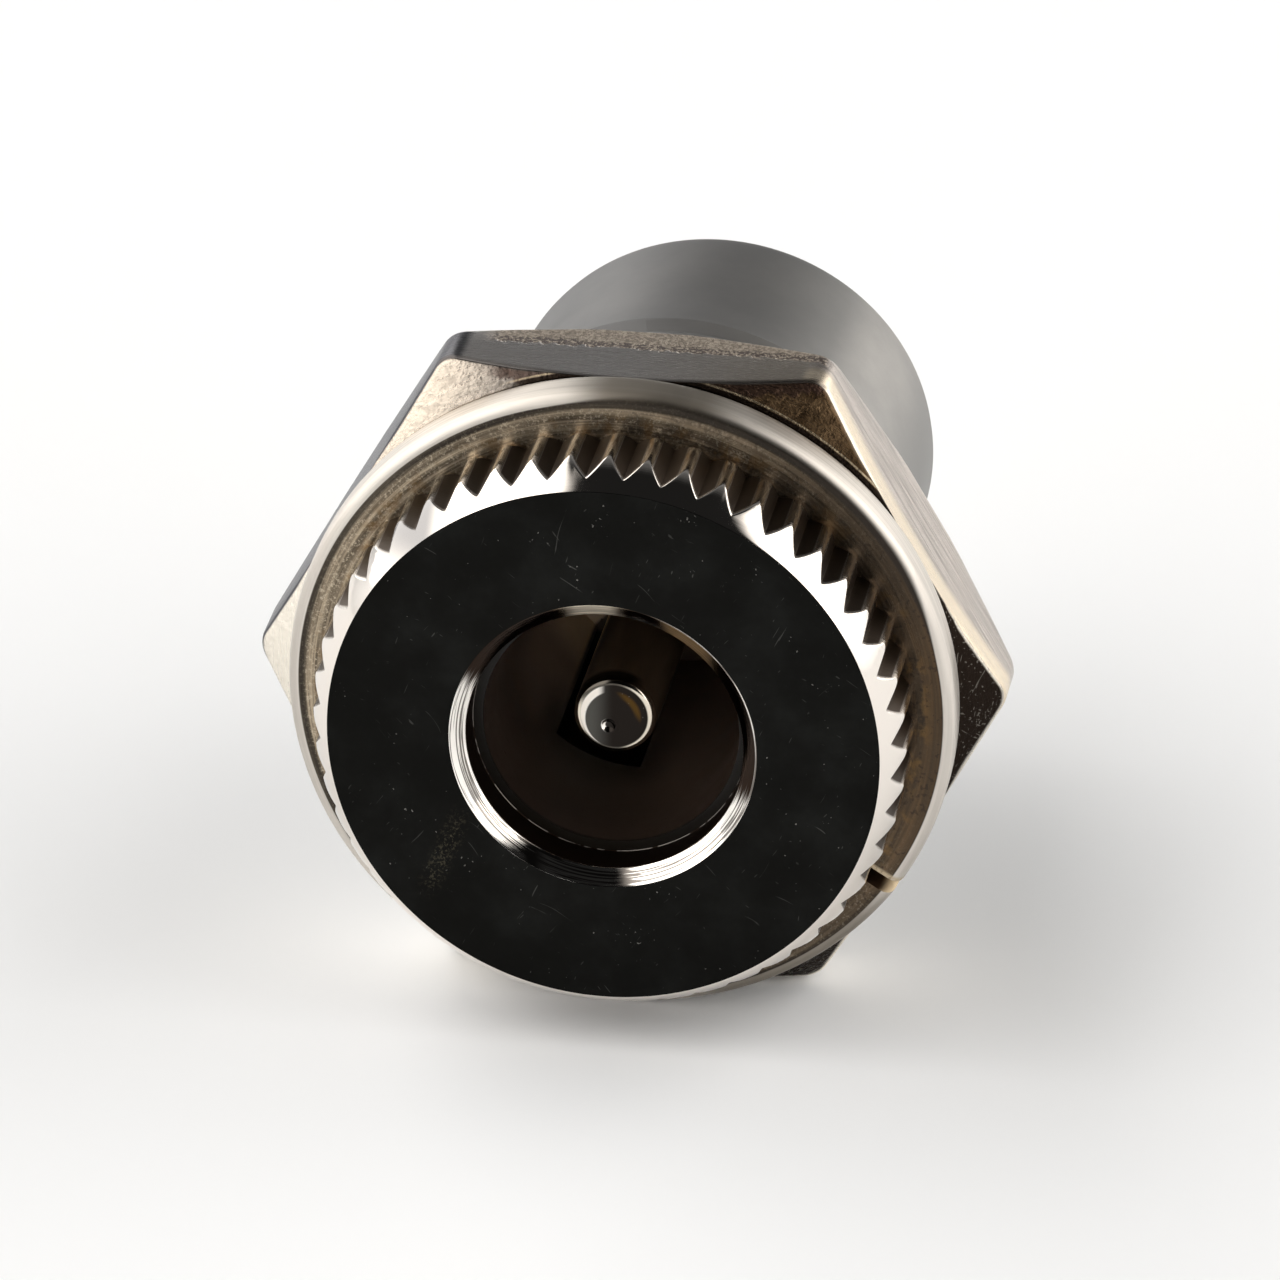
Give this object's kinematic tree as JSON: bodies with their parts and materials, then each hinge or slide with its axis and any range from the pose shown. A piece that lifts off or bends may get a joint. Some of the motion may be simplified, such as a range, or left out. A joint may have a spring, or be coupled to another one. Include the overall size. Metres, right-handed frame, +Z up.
{
  "type": "dc power socket",
  "caption": "Panel-mount round power socket with a knurled metal head, threaded barrel, insulated centre pin and sleeve contact, clamped by a split washer and hex nut.",
  "frame": {"origin": "centre of the panel seat, the back face of the knurled head, on the socket's axis", "axes": "+Y along the socket's axis from the mouth towards the solder lugs, +Z up across two flats of the nut"},
  "size_m": [0.0182, 0.0227, 0.0162],
  "materials": {
    "nickel_shell": "bright nickel plate over turned brass, dark polished front face",
    "black_plastic": "moulded brown-black",
    "nickel_pin": "bright nickel plate, turned",
    "tinned_strip": "tinned, dull",
    "nickel_washer": "worn nickel plate with a bright rim",
    "nickel_nut": "nickel plate over sawn bar, rough chamfers"
  },
  "bodies": {
    "socket": {"shell": "nickel_shell", "core": "black_plastic", "centre_pin": "nickel_pin", "centre_lug": "tinned_strip", "sleeve_spring": "tinned_strip"},
    "washer": {"lock_washer": "nickel_washer"},
    "nut": {"hex_nut": "nickel_nut"}
  },
  "joints": [
    {"name": "washer_slide", "type": "slide", "parent": "socket", "child": "washer", "axis": [0, 1, 0], "range_m": [0, 0.006]},
    {"name": "nut_spin", "type": "hinge", "parent": "washer", "child": "nut", "pos_m": [0, 0.0026, 0], "axis": [0, 1, 0], "range_deg": [0, 2160]}
  ],
  "couplings": [
    {"joint": "washer_slide", "follows": "nut_spin", "m_per_rad": 0.00015915}
  ]
}
